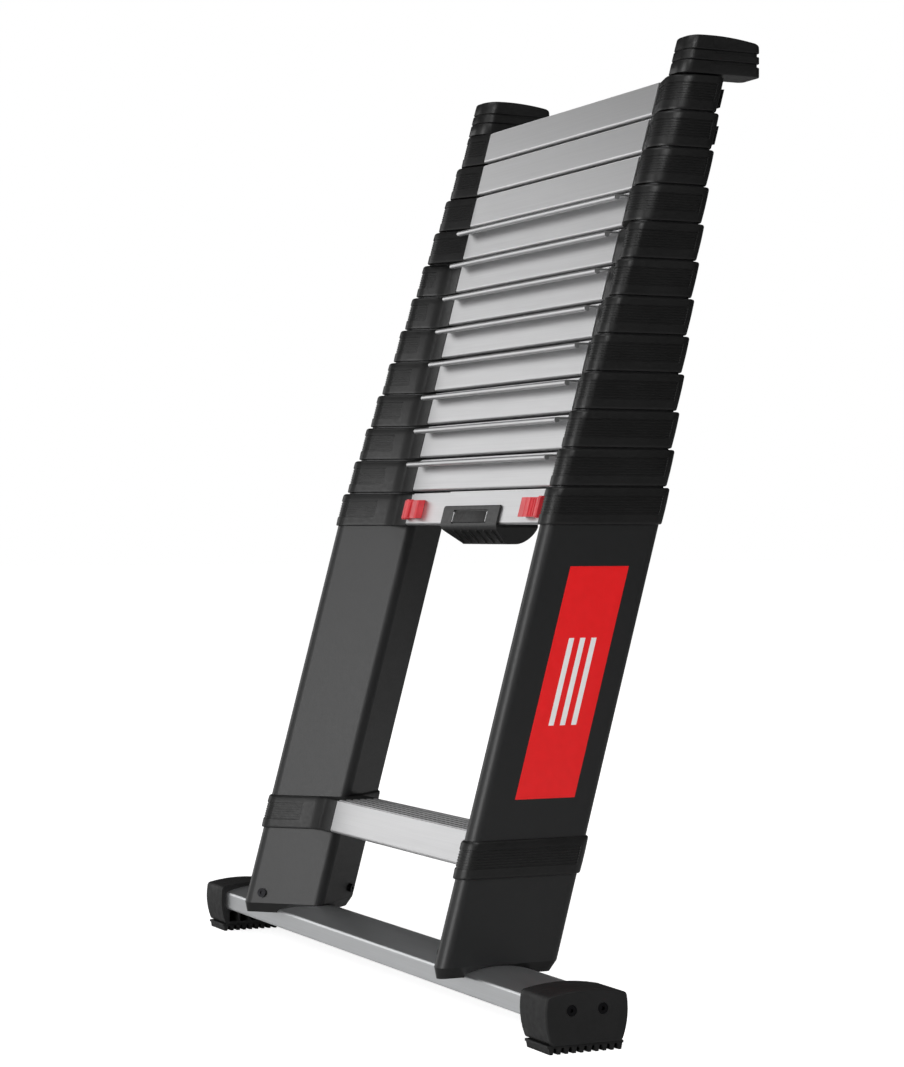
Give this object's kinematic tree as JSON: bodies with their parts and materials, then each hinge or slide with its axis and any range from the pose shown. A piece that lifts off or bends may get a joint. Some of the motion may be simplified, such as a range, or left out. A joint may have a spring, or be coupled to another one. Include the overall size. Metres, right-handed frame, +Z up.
{
  "type": "telescoping ladder",
  "caption": "Telescoping leaning ladder, collapsed: nested black stile tubes with aluminium rungs between black collars, wall caps at the top, and a wide stabiliser bar on two rubber feet.",
  "frame": {"origin": "on the floor, midway across the ladder and midway between its frontmost and rearmost points", "axes": "+X across the ladder to the climber's right, +Y from the climber towards the wall, +Z up; the stiles lean 15 degrees back from +Z towards +Y"},
  "size_m": [0.762, 0.3108, 0.8253],
  "materials": {
    "tube_black": "black powder coat, satin",
    "collar_black": "moulded, fine grain",
    "rung_aluminium": "natural anodised, satin",
    "catch_black": "moulded",
    "button_red": "moulded, satin",
    "pin_steel": "turned",
    "grip_black": "moulded, satin",
    "bar_aluminium": "natural anodised, satin",
    "foot_rubber": "moulded, matt",
    "screw_steel": "black oxide"
  },
  "bodies": {
    "base": {"stile_tubes_12": "tube_black", "collars_12": "collar_black", "rung_12": "rung_aluminium", "collars_13": "collar_black", "rung_13": "rung_aluminium", "carry_grip": "grip_black", "stile_foot_plugs": "grip_black", "stabiliser_bar": "bar_aluminium", "stabiliser_feet": "foot_rubber", "socket_screws": "screw_steel"},
    "section_11": {"stile_tubes_11": "tube_black", "collars_11": "collar_black", "rung_11": "rung_aluminium"},
    "section_10": {"stile_tubes_10": "tube_black", "collars_10": "collar_black", "rung_10": "rung_aluminium"},
    "section_09": {"stile_tubes_09": "tube_black", "collars_09": "collar_black", "rung_09": "rung_aluminium"},
    "section_08": {"stile_tubes_08": "tube_black", "collars_08": "collar_black", "rung_08": "rung_aluminium"},
    "section_07": {"stile_tubes_07": "tube_black", "collars_07": "collar_black", "rung_07": "rung_aluminium"},
    "section_06": {"stile_tubes_06": "tube_black", "collars_06": "collar_black", "rung_06": "rung_aluminium"},
    "section_05": {"stile_tubes_05": "tube_black", "collars_05": "collar_black", "rung_05": "rung_aluminium"},
    "section_04": {"stile_tubes_04": "tube_black", "collars_04": "collar_black", "rung_04": "rung_aluminium"},
    "section_03": {"stile_tubes_03": "tube_black", "collars_03": "collar_black", "rung_03": "rung_aluminium"},
    "section_02": {"stile_tubes_02": "tube_black", "collars_02": "collar_black", "rung_02": "rung_aluminium"},
    "section_01": {"stile_tubes_01": "tube_black", "collars_01": "collar_black", "rung_01": "rung_aluminium", "wall_caps": "collar_black"},
    "catches_01": {"release_catches_01": "catch_black"},
    "catches_02": {"release_catches_02": "catch_black"},
    "catches_03": {"release_catches_03": "catch_black"},
    "catches_04": {"release_catches_04": "catch_black"},
    "catches_05": {"release_catches_05": "catch_black"},
    "catches_06": {"release_catches_06": "catch_black"},
    "catches_07": {"release_catches_07": "catch_black"},
    "catches_08": {"release_catches_08": "catch_black"},
    "catches_09": {"release_catches_09": "catch_black"},
    "catches_10": {"release_catches_10": "catch_black"},
    "catches_11": {"release_catches_11": "catch_black"},
    "button_left": {"release_button_left": "button_red", "lock_pin_left": "pin_steel"},
    "button_right": {"release_button_right": "button_red", "lock_pin_right": "pin_steel"}
  },
  "joints": [
    {"name": "section_11_slide", "type": "slide", "parent": "base", "child": "section_11", "axis": [0, 0.2588, 0.9659], "range_m": [0, 0.26672]},
    {"name": "section_10_slide", "type": "slide", "parent": "section_11", "child": "section_10", "axis": [0, 0.2588, 0.9659], "range_m": [0, 0.26672]},
    {"name": "section_09_slide", "type": "slide", "parent": "section_10", "child": "section_09", "axis": [0, 0.2588, 0.9659], "range_m": [0, 0.26672]},
    {"name": "section_08_slide", "type": "slide", "parent": "section_09", "child": "section_08", "axis": [0, 0.2588, 0.9659], "range_m": [0, 0.26672]},
    {"name": "section_07_slide", "type": "slide", "parent": "section_08", "child": "section_07", "axis": [0, 0.2588, 0.9659], "range_m": [0, 0.26672]},
    {"name": "section_06_slide", "type": "slide", "parent": "section_07", "child": "section_06", "axis": [0, 0.2588, 0.9659], "range_m": [0, 0.26672]},
    {"name": "section_05_slide", "type": "slide", "parent": "section_06", "child": "section_05", "axis": [0, 0.2588, 0.9659], "range_m": [0, 0.26672]},
    {"name": "section_04_slide", "type": "slide", "parent": "section_05", "child": "section_04", "axis": [0, 0.2588, 0.9659], "range_m": [0, 0.26672]},
    {"name": "section_03_slide", "type": "slide", "parent": "section_04", "child": "section_03", "axis": [0, 0.2588, 0.9659], "range_m": [0, 0.26672]},
    {"name": "section_02_slide", "type": "slide", "parent": "section_03", "child": "section_02", "axis": [0, 0.2588, 0.9659], "range_m": [0, 0.26672]},
    {"name": "section_01_slide", "type": "slide", "parent": "section_02", "child": "section_01", "axis": [0, 0.2588, 0.9659], "range_m": [0, 0.26672]},
    {"name": "catches_11_slide", "type": "slide", "parent": "section_11", "child": "catches_11", "axis": [0, -0.2588, -0.9659], "range_m": [0, 0.003], "stiffness_N_per_m": 400},
    {"name": "catches_10_slide", "type": "slide", "parent": "section_10", "child": "catches_10", "axis": [0, -0.2588, -0.9659], "range_m": [0, 0.003], "stiffness_N_per_m": 400},
    {"name": "catches_09_slide", "type": "slide", "parent": "section_09", "child": "catches_09", "axis": [0, -0.2588, -0.9659], "range_m": [0, 0.003], "stiffness_N_per_m": 400},
    {"name": "catches_08_slide", "type": "slide", "parent": "section_08", "child": "catches_08", "axis": [0, -0.2588, -0.9659], "range_m": [0, 0.003], "stiffness_N_per_m": 400},
    {"name": "catches_07_slide", "type": "slide", "parent": "section_07", "child": "catches_07", "axis": [0, -0.2588, -0.9659], "range_m": [0, 0.003], "stiffness_N_per_m": 400},
    {"name": "catches_06_slide", "type": "slide", "parent": "section_06", "child": "catches_06", "axis": [0, -0.2588, -0.9659], "range_m": [0, 0.003], "stiffness_N_per_m": 400},
    {"name": "catches_05_slide", "type": "slide", "parent": "section_05", "child": "catches_05", "axis": [0, -0.2588, -0.9659], "range_m": [0, 0.003], "stiffness_N_per_m": 400},
    {"name": "catches_04_slide", "type": "slide", "parent": "section_04", "child": "catches_04", "axis": [0, -0.2588, -0.9659], "range_m": [0, 0.003], "stiffness_N_per_m": 400},
    {"name": "catches_03_slide", "type": "slide", "parent": "section_03", "child": "catches_03", "axis": [0, -0.2588, -0.9659], "range_m": [0, 0.003], "stiffness_N_per_m": 400},
    {"name": "catches_02_slide", "type": "slide", "parent": "section_02", "child": "catches_02", "axis": [0, -0.2588, -0.9659], "range_m": [0, 0.003], "stiffness_N_per_m": 400},
    {"name": "catches_01_slide", "type": "slide", "parent": "section_01", "child": "catches_01", "axis": [0, -0.2588, -0.9659], "range_m": [0, 0.003], "stiffness_N_per_m": 400},
    {"name": "button_left_slide", "type": "slide", "parent": "base", "child": "button_left", "axis": [1, 0, 0], "range_m": [0, 0.008], "stiffness_N_per_m": 400},
    {"name": "button_right_slide", "type": "slide", "parent": "base", "child": "button_right", "axis": [-1, 0, 0], "range_m": [0, 0.008], "stiffness_N_per_m": 400}
  ]
}
